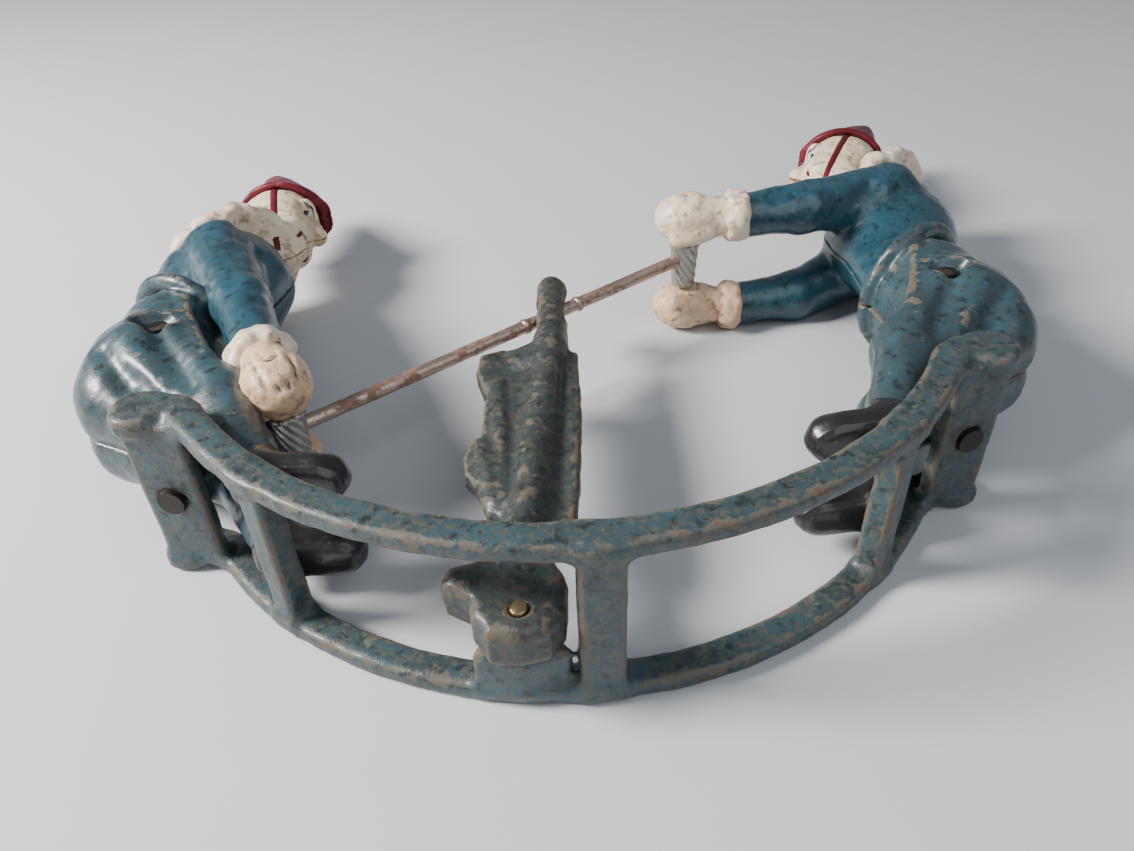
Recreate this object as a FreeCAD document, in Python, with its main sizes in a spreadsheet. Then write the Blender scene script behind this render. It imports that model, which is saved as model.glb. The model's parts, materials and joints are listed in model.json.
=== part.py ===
import FreeCAD, Part
import math
import os
from FreeCAD import Placement, Rotation, Vector

# Two jointed clowns on a cast-iron crescent cradle, lying on its side.
# Plan frame: x along the crescent from the left clown to the right one, y from
# the crescent's convex edge towards the heads, z up through the toy's width.
# Every casting of a figure is a half, near (above the mid plane) or far (below it).

doc = FreeCAD.newDocument("ClownCradle")
sheet = doc.addObject("Spreadsheet::Sheet", "Sizes")

SIZES = {
    "row_shift_x": -5.0,
    "row_shift_y": 21.0,
    "cradle_width": 39.0,
    "mid_plane": 19.5,
    "rail_thick": 4.0,
    "rail_depth": 6.6,
    "rail_radius": 84.0,
    "rail_centre_y": -40.0,
    "rail_half_angle": 58.0,
    "curl_radius": 7.0,
    "curl_end_angle": 62.0,
    "knob_radius": 5.4,
    "bar_span": 31.0,
    "mid_bar_width": 8.0,
    "mid_bar_depth": 6.0,
    "mid_bar_x": 0.6,
    "mid_bar_inset": 0.4,
    "side_bar_width": 6.0,
    "side_bar_depth": 5.0,
    "side_bar_angle": 41.6,
    "seat_wall_thick": 3.2,
    "seat_wall_turn": 1.0,
    "seat_wall_end_out": 3.4,
    "seat_wall_end_down": 1.8,
    "seat_hole_radius": 2.1,
    "boss_high": 9.0,
    "lever_pin_x": -12.8,
    "lever_pin_y": -124.0,
    "lever_pin_radius": 1.25,
    "lever_pin_length": 23.4,
    "lever_bore_radius": 1.3,
    "lobe_thick": 9.4,
    "lobe_low": 13.6,
    "plate_thick": 5.0,
    "plate_low": 17.0,
    "rib_thick": 10.4,
    "rib_low": 15.0,
    "slot_low": 14.5,
    "slot_deep": 8.4,
    "rod_level": 21.0,
    "rod_radius": 1.6,
    "grip_radius": 3.4,
    "grip_length": 12.0,
    "grip_bore_radius": 1.3,
    "open_bore_radius": 1.8,
    "grip_pin_radius": 1.25,
    "grip_pin_length": 33.0,
    "stake_radius": 2.3,
    "stake_length": 1.8,
    "hip_pin_radius": 2.0,
    "hip_bore_radius": 2.06,
    "hip_recess_radius": 4.6,
    "hip_recess_deep": 1.5,
    "front_thick": 8.6,
    "hip_thick": 16.6,
    "leg_low": 3.0,
    "leg_thick": 10.6,
    "shoe_low": 3.8,
    "shoe_thick": 11.2,
    "plug_thick": 6.6,
    "pocket_deep": 7.0,
    "torso_thick": 14.5,
    "arm_radius": 5.0,
    "arm_level": 14.1,
    "joint_swell": 0.35,
    "fist_radius": 6.7,
    "fist_level": 12.7,
    "fist_floor": 6.3,
    "fist_room": 3.0,
    "head_radius": 12.0,
    "ruff_radius": 18.0,
    "ruff_tall": 8.0,
    "neck_radius": 8.5,
    "hat_base": 11.0,
    "hat_top": 1.8,
    "seat_rivet_radius": 2.0,
    "seat_rivet_length": 11.5,
    "seat_rivet_head": 2.7,
    "seat_rivet_head_high": 1.2,
    "half_space": 200.0,
}
for row, (alias, number) in enumerate(SIZES.items(), start=1):
    sheet.set("A%d" % row, alias)
    sheet.set("B%d" % row, str(number))
    sheet.setAlias("B%d" % row, alias)
doc.recompute()

SUB_PARTS = []
SAME_SPOT = 1e-9
LEAST_CUT = 1e-3


def size(alias):
    """The number that the sheet holds under this alias."""
    return float(getattr(sheet, alias))


MID = size("mid_plane")
NEAR, FAR = 1, -1


def bind(thing, prop, formula):
    """Bind a property of a thing to a formula of the sheet's aliases."""
    thing.setExpression(prop, formula)


def keep(thing, label):
    """Name a finished sub-part and move it from the plan frame into the row frame."""
    thing.Label = label
    spot = thing.Placement.Base
    bind(thing, "Placement.Base.x", "Sizes.row_shift_x + %.6f" % spot.x)
    bind(thing, "Placement.Base.y", "Sizes.row_shift_y + %.6f" % spot.y)
    SUB_PARTS.append(thing)


def polar(radius, degrees, centre=(0.0, 0.0)):
    angle = math.radians(degrees)
    return (centre[0] + radius * math.cos(angle), centre[1] + radius * math.sin(angle))


def flip(points, side):
    """Mirror an outline's points across the plan's y axis when side is -1."""
    out = []
    for point in points:
        if isinstance(point[0], tuple):
            out.append(tuple((side * x, y) for x, y in point))
        else:
            out.append((side * point[0], point[1]))
    return out


# ------------------------------------------------------------------ bodies

def new_body(name):
    return doc.addObject("PartDesign::Body", name)


def new_sketch(body, name, level):
    """A sketch on the body's own XY plane, lifted to the level formula."""
    plane = [item for item in body.Origin.OriginFeatures if item.Role == "XY_Plane"][0]
    sketch = body.newObject("Sketcher::SketchObject", name)
    sketch.AttachmentSupport = [(plane, "")]
    sketch.MapMode = "FlatFace"
    bind(sketch, "AttachmentOffset.Base.z", level)
    return sketch


def draw_outline(sketch, points):
    """Closed outline. A point is (x, y); a pair of points is an arc, through and end."""
    here = Vector(points[0][0], points[0][1], 0)
    for step in list(points[1:]) + [points[0]]:
        if isinstance(step[0], tuple):
            through = Vector(step[0][0], step[0][1], 0)
            end = Vector(step[1][0], step[1][1], 0)
            sketch.addGeometry(Part.Arc(here, through, end))
        else:
            end = Vector(step[0], step[1], 0)
            if end.distanceToPoint(here) < SAME_SPOT:
                continue
            sketch.addGeometry(Part.LineSegment(here, end))
        here = end


def draw_circle(sketch, centre, alias):
    sketch.addGeometry(Part.Circle(Vector(centre[0], centre[1], 0), Vector(0, 0, 1), size(alias)))


def pad(body, name, level, length, points=None, circles=()):
    """Solid prism along z from the level formula, as long as the length formula."""
    sketch = new_sketch(body, name + "_sketch", level)
    if points:
        draw_outline(sketch, points)
    for centre, alias in circles:
        draw_circle(sketch, centre, alias)
    feature = body.newObject("PartDesign::Pad", name)
    feature.Profile = sketch
    bind(feature, "Length", length)
    doc.recompute()
    return feature


def pocket(body, name, level, length, points=None, circles=()):
    """Cut along z, upwards from the level formula."""
    sketch = new_sketch(body, name + "_sketch", level)
    if points:
        draw_outline(sketch, points)
    for centre, alias in circles:
        draw_circle(sketch, centre, alias)
    before = body.Shape.Volume
    feature = body.newObject("PartDesign::Pocket", name)
    feature.Profile = sketch
    feature.Reversed = True
    bind(feature, "Length", length)
    doc.recompute()
    if body.Shape.Volume > before - LEAST_CUT:
        raise RuntimeError(name + " cuts nothing")
    return feature


# -------------------------------------------------------- Part primitives

def place(thing, spot, direction=None):
    turn = Rotation() if direction is None else Rotation(Vector(0, 0, 1), direction)
    thing.Placement = Placement(Vector(*spot), turn)


def cylinder(name, radius, length, spot, direction=None):
    thing = doc.addObject("Part::Cylinder", name)
    bind(thing, "Radius", radius)
    bind(thing, "Height", length)
    place(thing, spot, direction)
    return thing


def ball(name, radius, spot, direction=None):
    thing = doc.addObject("Part::Sphere", name)
    bind(thing, "Radius", radius)
    place(thing, spot, direction)
    return thing


def box(name, corner, lengths):
    thing = doc.addObject("Part::Box", name)
    thing.Length, thing.Width, thing.Height = lengths
    place(thing, corner)
    return thing


def fuse(name, things):
    thing = doc.addObject("Part::MultiFuse", name)
    thing.Shapes = things
    return thing


def cut(name, base, tool):
    thing = doc.addObject("Part::Cut", name)
    thing.Base = base
    thing.Tool = tool
    return thing


def common(name, base, tool):
    thing = doc.addObject("Part::Common", name)
    thing.Base = base
    thing.Tool = tool
    return thing


# ------------------------------------------------------------------ cradle

RAIL_CENTRE = (0.0, size("rail_centre_y"))
INNER = size("rail_radius") - size("rail_depth") / 2
OUTER = size("rail_radius") + size("rail_depth") / 2
JOINT_ANGLE = size("rail_half_angle") - 90.0
CURL_CENTRE = polar(size("rail_radius") + size("curl_radius"), JOINT_ANGLE, RAIL_CENTRE)
CURL_START = JOINT_ANGLE + 180.0
CURL_END = size("curl_end_angle")
CURL_MIDDLE = (CURL_START + CURL_END) / 2
KNOB = polar(size("curl_radius"), CURL_END, CURL_CENTRE)
LEVER_PIN = (size("lever_pin_x"), size("lever_pin_y"))


def rail_outline():
    """Crescent band: one long arc whose ends curl outwards to the knobs."""
    wide = size("curl_radius") + size("rail_depth") / 2
    tight = size("curl_radius") - size("rail_depth") / 2
    right = [
        polar(tight, CURL_END, CURL_CENTRE),
        (polar(tight, CURL_MIDDLE, CURL_CENTRE), polar(OUTER, JOINT_ANGLE, RAIL_CENTRE)),
    ]
    left = [
        (polar(OUTER, -90.0, RAIL_CENTRE), flip([polar(OUTER, JOINT_ANGLE, RAIL_CENTRE)], -1)[0]),
    ]
    left += flip([(polar(tight, CURL_MIDDLE, CURL_CENTRE), polar(tight, CURL_END, CURL_CENTRE)),
                  polar(wide, CURL_END, CURL_CENTRE),
                  (polar(wide, CURL_MIDDLE, CURL_CENTRE), polar(INNER, JOINT_ANGLE, RAIL_CENTRE))], -1)
    back = [
        (polar(INNER, -90.0, RAIL_CENTRE), polar(INNER, JOINT_ANGLE, RAIL_CENTRE)),
        (polar(wide, CURL_MIDDLE, CURL_CENTRE), polar(wide, CURL_END, CURL_CENTRE)),
    ]
    return right + left + back


def slab(start, end, thick):
    """Four corners of a straight bar from start to end in plan."""
    along = Vector(end[0] - start[0], end[1] - start[1], 0)
    along.normalize()
    across = Vector(-along.y, along.x, 0) * (thick / 2)
    return [(start[0] - across.x, start[1] - across.y), (end[0] - across.x, end[1] - across.y),
            (end[0] + across.x, end[1] + across.y), (start[0] + across.x, start[1] + across.y)]


WALL_START = polar(OUTER - size("seat_wall_thick") / 2, JOINT_ANGLE - size("seat_wall_turn"), RAIL_CENTRE)
WALL_END = (KNOB[0] + size("seat_wall_end_out"), KNOB[1] - size("seat_wall_end_down"))
BOSS_OUTLINE = [(-21.5, -124.6), (-19.0, -119.0), (-7.6, -119.0), (-4.6, -125.4), (-12.8, -127.0)]


def make_rail(body, name, level):
    knobs = [(KNOB, "knob_radius"), ((-KNOB[0], KNOB[1]), "knob_radius")]
    pad(body, name, level, "Sizes.rail_thick", rail_outline())
    pad(body, name + "_knobs", level, "Sizes.rail_thick", circles=knobs)


def make_cradle():
    """One casting: far rail, bars and end walls, near rail, and the lever's boss."""
    body = new_body("Cradle")
    make_rail(body, "far_rail", "0")
    make_bars(body)
    make_rail(body, "near_rail", "Sizes.cradle_width - Sizes.rail_thick")
    pad(body, "lever_boss", "Sizes.rail_thick", "Sizes.boss_high", BOSS_OUTLINE)
    pocket(body, "lever_pin_seat", "0", "Sizes.rail_thick + Sizes.boss_high",
           circles=[(LEVER_PIN, "lever_pin_radius")])
    for side in (1, -1):
        tool = doc.addObject("PartDesign::SubtractiveCylinder", "seat_hole%d" % side)
        body.addObject(tool)
        bind(tool, "Radius", "Sizes.seat_hole_radius")
        bind(tool, "Height", "4 * Sizes.seat_wall_thick")
        spot, direction = seat_rivet_line(side)
        place(tool, spot - direction * (2 * size("seat_wall_thick")), direction)
        doc.recompute()
    keep(body, "cradle_frame")


def make_bars(body):
    """Three crossbars and two end walls that join the rails."""
    half = size("mid_bar_width") / 2
    inner = size("rail_centre_y") - OUTER + size("mid_bar_depth")
    outer = size("rail_centre_y") - OUTER + size("mid_bar_inset")
    centre = size("mid_bar_x")
    middle = [(centre - half, inner), (centre + half, inner), (centre + half, outer), (centre - half, outer)]
    pad(body, "middle_bar", "Sizes.rail_thick", "Sizes.bar_span", middle)
    for side in (1, -1):
        word = "right" if side > 0 else "left"
        angle = size("side_bar_angle") - 90.0
        deep = size("side_bar_depth") / 2
        start = polar(size("rail_radius") - deep, angle, RAIL_CENTRE)
        end = polar(size("rail_radius") + deep, angle, RAIL_CENTRE)
        bar = flip(slab(start, end, size("side_bar_width")), side)
        pad(body, word + "_bar", "Sizes.rail_thick", "Sizes.bar_span", bar)
        wall = flip(slab(WALL_START, WALL_END, size("seat_wall_thick")), side)
        pad(body, word + "_seat_wall", "Sizes.rail_thick", "Sizes.bar_span", wall)


def seat_rivet_line(side):
    """Middle of the end wall, and the direction through it towards the clown's seat."""
    spot = Vector(side * (WALL_START[0] + WALL_END[0]) / 2, (WALL_START[1] + WALL_END[1]) / 2, MID)
    along = Vector(side * (WALL_END[0] - WALL_START[0]), WALL_END[1] - WALL_START[1], 0)
    across = Vector(-along.y * side, along.x * side, 0)
    across.normalize()
    return spot, across


def make_seat_rivet(side, word):
    spot, direction = seat_rivet_line(side)
    base = spot - direction * (size("seat_wall_thick") / 2)
    shank = cylinder("seat_shank_" + word, "Sizes.seat_rivet_radius", "Sizes.seat_rivet_length",
                     base, direction)
    head_base = base - direction * size("seat_rivet_head_high")
    head = cylinder("seat_head_" + word, "Sizes.seat_rivet_head", "Sizes.seat_rivet_head_high",
                    head_base, direction)
    keep(fuse("seat_rivet_fuse_" + word, [shank, head]), "seat_rivet_" + word)


# ------------------------------------------------------------------- lever

PLATE_OUTLINE = [(-18.6, -47.5), (-8.0, -46.0), (3.4, -49.0), ((1.4, -76.0), (-2.0, -103.5)),
                 (-17.6, -99.5), (-18.6, -91.0), ((-22.4, -84.5), (-19.2, -77.0)),
                 (-18.0, -62.0)]
RIB_OUTLINE = [(-5.6, -30.0), (-5.0, -19.0), ((-1.2, -14.8), (2.2, -19.0)), (2.0, -32.0), (-1.0, -50.0),
               (-5.6, -84.0), (-7.6, -112.0), (-15.4, -112.0), (-14.2, -84.0), (-8.6, -50.0)]
LOBE_OUTLINE = [(-7.2, -110.5), (-4.4, -118.5), ((-7.0, -127.6), (-13.2, -129.4)),
                ((-19.6, -127.0), (-20.8, -121.0)), (-25.4, -117.0), (-24.0, -113.2), (-17.0, -110.5)]
SLOT_OUTLINE = [(-9.0, -39.2), (6.0, -29.0), (6.0, -15.2), (-9.0, -25.4)]


def make_lever():
    """Swinging lever: a lobe on the pin, a flat plate, a long rib and the rod's open slot."""
    body = new_body("Lever")
    pad(body, "rib", "Sizes.rib_low", "Sizes.rib_thick", RIB_OUTLINE)
    pad(body, "plate", "Sizes.plate_low", "Sizes.plate_thick", PLATE_OUTLINE)
    pad(body, "lobe", "Sizes.lobe_low", "Sizes.lobe_thick", LOBE_OUTLINE)
    pocket(body, "pin_bore", "0", "Sizes.cradle_width", circles=[(LEVER_PIN, "lever_bore_radius")])
    pocket(body, "rod_slot", "Sizes.slot_low", "Sizes.slot_deep", points=SLOT_OUTLINE)
    keep(body, "swing_lever")


def make_lever_pin():
    keep(cylinder("LeverPin", "Sizes.lever_pin_radius", "Sizes.lever_pin_length",
                  LEVER_PIN + (0.0,)), "lever_pin")


# ----------------------------------------------------------------- trousers

TROUSERS_OUTLINE = [(77.5, -32.0), (107.0, -17.0), ((107.5, -42.0), (100.5, -62.0)), (87.0, -72.5),
                    (76.0, -77.0), (70.5, -82.0), (61.0, -82.0), (66.5, -70.0), (70.0, -60.0), (76.5, -42.0)]
HIP_OUTLINE = [(89.0, -32.0), (103.0, -25.0), ((105.5, -42.0), (99.0, -60.0)), (88.0, -68.0),
               (79.0, -60.0), (81.0, -44.0)]
LEG_OUTLINE = [(76.0, -77.0), (66.0, -91.5), (58.5, -90.5), (62.0, -79.5)]
SHOE_OUTLINE = [(66.5, -91.0), (57.0, -88.2), (48.0, -89.4), ((43.2, -92.6), (45.6, -97.4)), (56.0, -97.4),
                (63.0, -96.2)]
POCKET_OUTLINE = [(79.6, -24.0), (80.4, -46.0), ((88.0, -54.2), (95.8, -48.0)), (104.6, -20.5),
                  (107.5, -11.0)]
HIP = (88.0, -46.0)


def half_level(half, low, thick):
    """Level formula of a slab that stands this far off the mid plane, on this half."""
    if half == NEAR:
        return "Sizes.mid_plane + (%s)" % low
    return "Sizes.mid_plane - (%s) - (%s)" % (low, thick)


def make_trousers(side, word, half, half_word):
    body = new_body("Trousers_%s_%s" % (half_word, word))
    slabs = (("front", "0", "Sizes.front_thick", TROUSERS_OUTLINE),
             ("hip", "0", "Sizes.hip_thick", HIP_OUTLINE),
             ("leg", "Sizes.leg_low", "Sizes.leg_thick", LEG_OUTLINE),
             ("shoe", "Sizes.shoe_low", "Sizes.shoe_thick", SHOE_OUTLINE))
    tag = "_%s_%s" % (half_word, word)
    for name, low, thick, outline in slabs:
        pad(body, name + tag, half_level(half, low, thick), thick, flip(outline, side))
    hip = (side * HIP[0], HIP[1])
    pocket(body, "plug_pocket" + tag, half_level(half, "0", "Sizes.pocket_deep"),
           "Sizes.pocket_deep", flip(POCKET_OUTLINE, side))
    pocket(body, "pin_bore" + tag, "0", "Sizes.cradle_width", circles=[(hip, "hip_pin_radius")])
    floor = "Sizes.hip_thick - Sizes.hip_recess_deep"
    pocket(body, "recess" + tag, half_level(half, floor, "Sizes.hip_recess_deep"),
           "Sizes.hip_recess_deep", circles=[(hip, "hip_recess_radius")])
    keep(body, "%s_trousers_%s" % (half_word, word))


def make_hip_pin(side, word):
    reach = size("hip_thick") - size("hip_recess_deep")
    keep(cylinder("HipPin_" + word, "Sizes.hip_pin_radius", "2 * (Sizes.hip_thick - Sizes.hip_recess_deep)",
                  (side * HIP[0], HIP[1], MID - reach)), "hip_pin_" + word)


# --------------------------------------------------------- jackets and heads

# Each clown is posed in its own casting: the left one bows over its hands, the
# right one reaches out. x is given as the distance from the plan's y axis.
FIGURES = {
    "left": {
        "side": -1,
        "torso": [(79.5, -26.0), (71.5, -17.0), (70.0, -5.0), (75.0, 8.0), (99.0, 30.0),
                  ((109.0, 14.0), (105.0, -10.0))],
        "plug": [(81.5, -24.0), (81.5, -46.0), ((88.0, -52.5), (94.5, -46.0)), (97.5, -17.5)],
        "ruff": (88.0, 15.0),
        "head": (82.5, 36.0),
        "hat_from": (82.5, 44.5), "hat_to": (92.0, 69.5),
        "shoulder": (85.5, -2.0), "elbow": (72.0, -36.0), "wrist": (63.5, -59.0), "fist": (58.5, -69.0),
    },
    "right": {
        "side": 1,
        "torso": [(80.5, -27.0), (76.0, -16.0), (77.5, -2.0), (86.0, 13.0), (110.0, 38.0),
                  ((118.5, 14.0), (107.5, -12.5))],
        "plug": [(81.5, -24.0), (81.5, -46.0), ((88.0, -52.5), (94.5, -46.0)), (97.5, -19.0)],
        "ruff": (98.5, 25.0),
        "head": (98.0, 49.5),
        "hat_from": (101.0, 57.0), "hat_to": (118.4, 86.5),
        "shoulder": (94.0, 6.0), "elbow": (66.0, -4.5), "wrist": (47.5, -6.5), "fist": (36.0, -5.0),
    },
}


def limb(name, start, end, level_z, radius):
    """Straight round limb from start to end, all at one level."""
    a = Vector(start[0], start[1], level_z)
    b = Vector(end[0], end[1], level_z)
    tube = doc.addObject("Part::Cylinder", name)
    bind(tube, "Radius", radius)
    tube.Height = a.distanceToPoint(b)
    place(tube, a, b - a)
    return tube


def make_jacket(word, half, half_word):
    """Half casting: jacket, plug that goes down into the trousers, arm, fist, ruff, head, hat."""
    shape = FIGURES[word]
    side = shape["side"]
    tag = "_%s_%s" % (half_word, word)

    def at(key):
        return (side * shape[key][0], shape[key][1])

    body = new_body("Torso" + tag)
    for name in ("torso", "plug"):
        thick = "Sizes.%s_thick" % name
        pad(body, name + tag, "Sizes.mid_plane - " + thick, "2 * " + thick, flip(shape[name], side))
    arm_z = MID + half * size("arm_level")
    fist_z = MID + half * size("fist_level")
    arm = "Sizes.arm_radius"
    pieces = [body]
    joint = "Sizes.arm_radius + Sizes.joint_swell"
    pieces.append(ball("shoulder" + tag, joint, at("shoulder") + (arm_z,)))
    pieces.append(limb("upper_arm" + tag, at("shoulder"), at("elbow"), arm_z, arm))
    forearm_way = Vector(at("fist")[0] - at("elbow")[0], at("fist")[1] - at("elbow")[1], 0)
    pieces.append(ball("elbow" + tag, joint, at("elbow") + (arm_z,), forearm_way))
    pieces.append(limb("forearm" + tag, at("elbow"), at("fist"), arm_z, arm))
    pieces.append(ball("fist" + tag, "Sizes.fist_radius", at("fist") + (fist_z,)))
    neck_way = Vector(at("head")[0] - at("ruff")[0], at("head")[1] - at("ruff")[1], 0)
    neck_way.normalize()
    ruff_base = Vector(*(at("ruff") + (MID,))) - neck_way * (size("ruff_tall") / 2)
    pieces.append(cylinder("ruff" + tag, "Sizes.ruff_radius", "Sizes.ruff_tall", ruff_base, neck_way))
    pieces.append(limb("neck" + tag, at("ruff"), at("head"), MID, "Sizes.neck_radius"))
    pieces.append(ball("head" + tag, "Sizes.head_radius", at("head") + (MID,)))
    hat = doc.addObject("Part::Cone", "hat" + tag)
    bind(hat, "Radius1", "Sizes.hat_base")
    bind(hat, "Radius2", "Sizes.hat_top")
    base = Vector(*(at("hat_from") + (MID,)))
    tip = Vector(*(at("hat_to") + (MID,)))
    hat.Height = base.distanceToPoint(tip)
    place(hat, base, tip - base)
    pieces.append(hat)
    whole = fuse("whole" + tag, pieces)
    reach = size("half_space")
    corner_z = MID if half == NEAR else MID - reach
    half_space = box("half_space" + tag, (-reach, -reach, corner_z), (2 * reach, 2 * reach, reach))
    halved = common("halved" + tag, whole, half_space)
    hip = (side * HIP[0], HIP[1])
    bore = cylinder("hip_bore" + tag, "Sizes.hip_bore_radius", "Sizes.cradle_width", hip + (0.0,))
    pin_hole = cylinder("grip_hole" + tag, "Sizes.grip_pin_radius", "Sizes.grip_pin_length",
                        at("fist") + (MID - size("grip_pin_length") / 2,))
    room = cylinder("grip_room" + tag, "Sizes.fist_radius + Sizes.fist_room", "2 * Sizes.fist_floor",
                    at("fist") + (MID - size("fist_floor"),))
    keep(cut("jacket_cut" + tag, halved, fuse("jacket_tools" + tag, [bore, pin_hole, room])),
         "%s_jacket_%s" % (half_word, word))


# ----------------------------------------------------------- rod and grips

GRIPS = {}
for figure_word, figure in FIGURES.items():
    GRIPS[figure_word] = Vector(figure["side"] * figure["fist"][0], figure["fist"][1], MID)
ROD = GRIPS["right"] - GRIPS["left"]
ROD_WAY = Vector(ROD)
ROD_WAY.normalize()
ROD_START = Vector(GRIPS["left"].x, GRIPS["left"].y, size("rod_level"))


def make_grip(word, bore_radius):
    """Round spool that turns on the pin between a clown's two fists."""
    centre = GRIPS[word]
    low = centre - Vector(0, 0, size("grip_length") / 2)
    spool = cylinder("spool_" + word, "Sizes.grip_radius", "Sizes.grip_length", low)
    bore = cylinder("spool_bore_" + word, bore_radius, "Sizes.grip_length", low)
    keep(cut("grip_cut_" + word, spool, bore), "grip_spool_" + word)


def make_grip_pin(word):
    low = GRIPS[word] - Vector(0, 0, size("grip_pin_length") / 2)
    keep(cylinder("pin_" + word, "Sizes.grip_pin_radius", "Sizes.grip_pin_length", low), "grip_pin_" + word)


def make_rod():
    """Push rod: its ends are shaped to the spools' round sides."""
    shaft = doc.addObject("Part::Cylinder", "rod_shaft")
    bind(shaft, "Radius", "Sizes.rod_radius")
    shaft.Height = ROD.Length
    place(shaft, ROD_START, ROD_WAY)
    ends = []
    for word, centre in GRIPS.items():
        low = centre - Vector(0, 0, size("grip_length") / 2)
        ends.append(cylinder("rod_end_" + word, "Sizes.grip_radius", "Sizes.grip_length", low))
    keep(cut("rod_cut", shaft, fuse("rod_ends", ends)), "push_rod")


STAKES = {"left": 60.0, "right": 76.2}


def make_stake(word):
    """Swaged ring on the rod that drags the lever along."""
    spot = ROD_START + ROD_WAY * STAKES[word]
    ring = cylinder("stake_body_" + word, "Sizes.stake_radius", "Sizes.stake_length", spot, ROD_WAY)
    bore = cylinder("stake_bore_" + word, "Sizes.rod_radius", "Sizes.stake_length", spot, ROD_WAY)
    keep(cut("stake_cut_" + word, ring, bore), "rod_stake_" + word)


# ------------------------------------------------------------------- build

make_cradle()
make_lever()
make_lever_pin()
for figure_word, figure in FIGURES.items():
    make_hip_pin(figure["side"], figure_word)
    make_seat_rivet(figure["side"], figure_word)
    make_grip_pin(figure_word)
    make_stake(figure_word)
    for half, half_word in ((NEAR, "near"), (FAR, "far")):
        make_trousers(figure["side"], figure_word, half, half_word)
        make_jacket(figure_word, half, half_word)
make_grip("right", "Sizes.grip_bore_radius")
make_grip("left", "Sizes.open_bore_radius")
make_rod()
doc.recompute()

bad = [item.Name for item in doc.Objects if "Invalid" in item.State or "Error" in item.State]
for part in SUB_PARTS:
    if part.Shape.isNull() or not part.Shape.isValid() or len(part.Shape.Solids) != 1:
        bad.append(part.Label)
if bad:
    raise RuntimeError("failed: " + ", ".join(bad))

os.makedirs("parts", exist_ok=True)
for part in SUB_PARTS:
    part.Shape.exportStep("parts/%s.step" % part.Label)
    bounds = part.Shape.BoundBox
    print("%-24s solids %d volume %8.1f  x %7.1f..%6.1f  y %7.1f..%6.1f  z %5.1f..%5.1f" % (
        part.Label, len(part.Shape.Solids), part.Shape.Volume, bounds.XMin, bounds.XMax,
        bounds.YMin, bounds.YMax, bounds.ZMin, bounds.ZMax))
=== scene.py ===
import json
import math
import bpy
import numpy as np
from mathutils import Matrix, Vector


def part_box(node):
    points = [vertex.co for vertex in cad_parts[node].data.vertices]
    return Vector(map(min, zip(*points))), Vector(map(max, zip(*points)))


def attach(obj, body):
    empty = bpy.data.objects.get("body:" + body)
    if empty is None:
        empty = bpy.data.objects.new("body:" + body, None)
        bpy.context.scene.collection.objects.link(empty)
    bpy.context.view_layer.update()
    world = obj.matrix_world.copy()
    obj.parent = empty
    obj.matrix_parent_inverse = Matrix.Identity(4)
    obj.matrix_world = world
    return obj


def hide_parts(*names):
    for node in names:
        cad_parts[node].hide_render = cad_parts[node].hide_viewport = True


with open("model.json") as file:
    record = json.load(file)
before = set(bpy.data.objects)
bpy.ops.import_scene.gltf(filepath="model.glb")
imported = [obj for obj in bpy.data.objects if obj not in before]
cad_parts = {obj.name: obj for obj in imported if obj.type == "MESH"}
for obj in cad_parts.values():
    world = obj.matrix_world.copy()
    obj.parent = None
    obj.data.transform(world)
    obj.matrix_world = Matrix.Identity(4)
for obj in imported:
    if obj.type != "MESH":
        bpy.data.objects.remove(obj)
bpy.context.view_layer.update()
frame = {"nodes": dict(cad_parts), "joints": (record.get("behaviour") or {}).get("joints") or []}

# Two cast-iron clowns on a crescent cradle, modelled as distance fields in millimetres.
# Plan frame: x along the crescent, y towards the heads, c up from the mid plane of the toy.
# Figure frame: out (away from the toy's middle) and up, both from the clown's hip pin.

MM = 0.001
JOINTS = {joint["name"]: Vector(joint["pos_m"]) for joint in frame["joints"]}
HIP_X = (JOINTS["right_lean"].x - JOINTS["left_lean"].x) / 2 / MM
HIP_Y = -46.0
ORIGIN = (JOINTS["right_lean"] + JOINTS["left_lean"]) / 2 - Vector((0, HIP_Y * MM, 0))
HALF_WIDTH = ORIGIN.z / MM
LEVER_PIN = np.array([(JOINTS["lever_swing"].x - ORIGIN.x) / MM, (JOINTS["lever_swing"].y - ORIGIN.y) / MM])
SEAM = 0.12
NEAR, FAR = 1, -1
HALVES = ((NEAR, "near"), (FAR, "far"))


# ---------------------------------------------------------------- fields

def vec(*numbers):
    return np.array(numbers, np.float32)


def join(a, b, soft):
    """Smooth union of two fields."""
    share = np.clip(0.5 + 0.5 * (b - a) / soft, 0, 1)
    return b + (a - b) * share - soft * share * (1 - share)


def carve(a, b, soft):
    """Field a with field b taken away, with a soft edge."""
    return -join(-a, b, soft)


def egg(p, centre, radii):
    """Ellipsoid with its axes along the frame."""
    q = p - vec(*centre)
    inner = np.linalg.norm(q / vec(*radii), axis=-1)
    steepness = np.linalg.norm(q / vec(*radii) ** 2, axis=-1) + 1e-6
    return inner * (inner - 1) / steepness


def bone(p, start, end, start_radius, end_radius):
    """Round cone between two points."""
    start, end = vec(*start), vec(*end)
    along = end - start
    share = np.clip((p - start) @ along / (along @ along), 0, 1)
    gap = p - start - share[..., None] * along
    return np.linalg.norm(gap, axis=-1) - (start_radius + (end_radius - start_radius) * share)


def line_gap(p, start, end):
    return bone(p, start, end, 0.0, 0.0)


def fold(p, start, end, wide, high):
    """A ridge (high > 0) or a crease (high < 0) along a line; a field less this value has it."""
    return high * np.exp(-(line_gap(p, start, end) / wide) ** 2)


def rounded(a, b, radius):
    """Section with rounded corners, from two fields that cross at right angles."""
    q = np.stack([a + radius, b + radius], -1)
    outside = np.linalg.norm(np.maximum(q, 0), axis=-1)
    return outside + np.minimum(q.max(-1), 0) - radius


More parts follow.
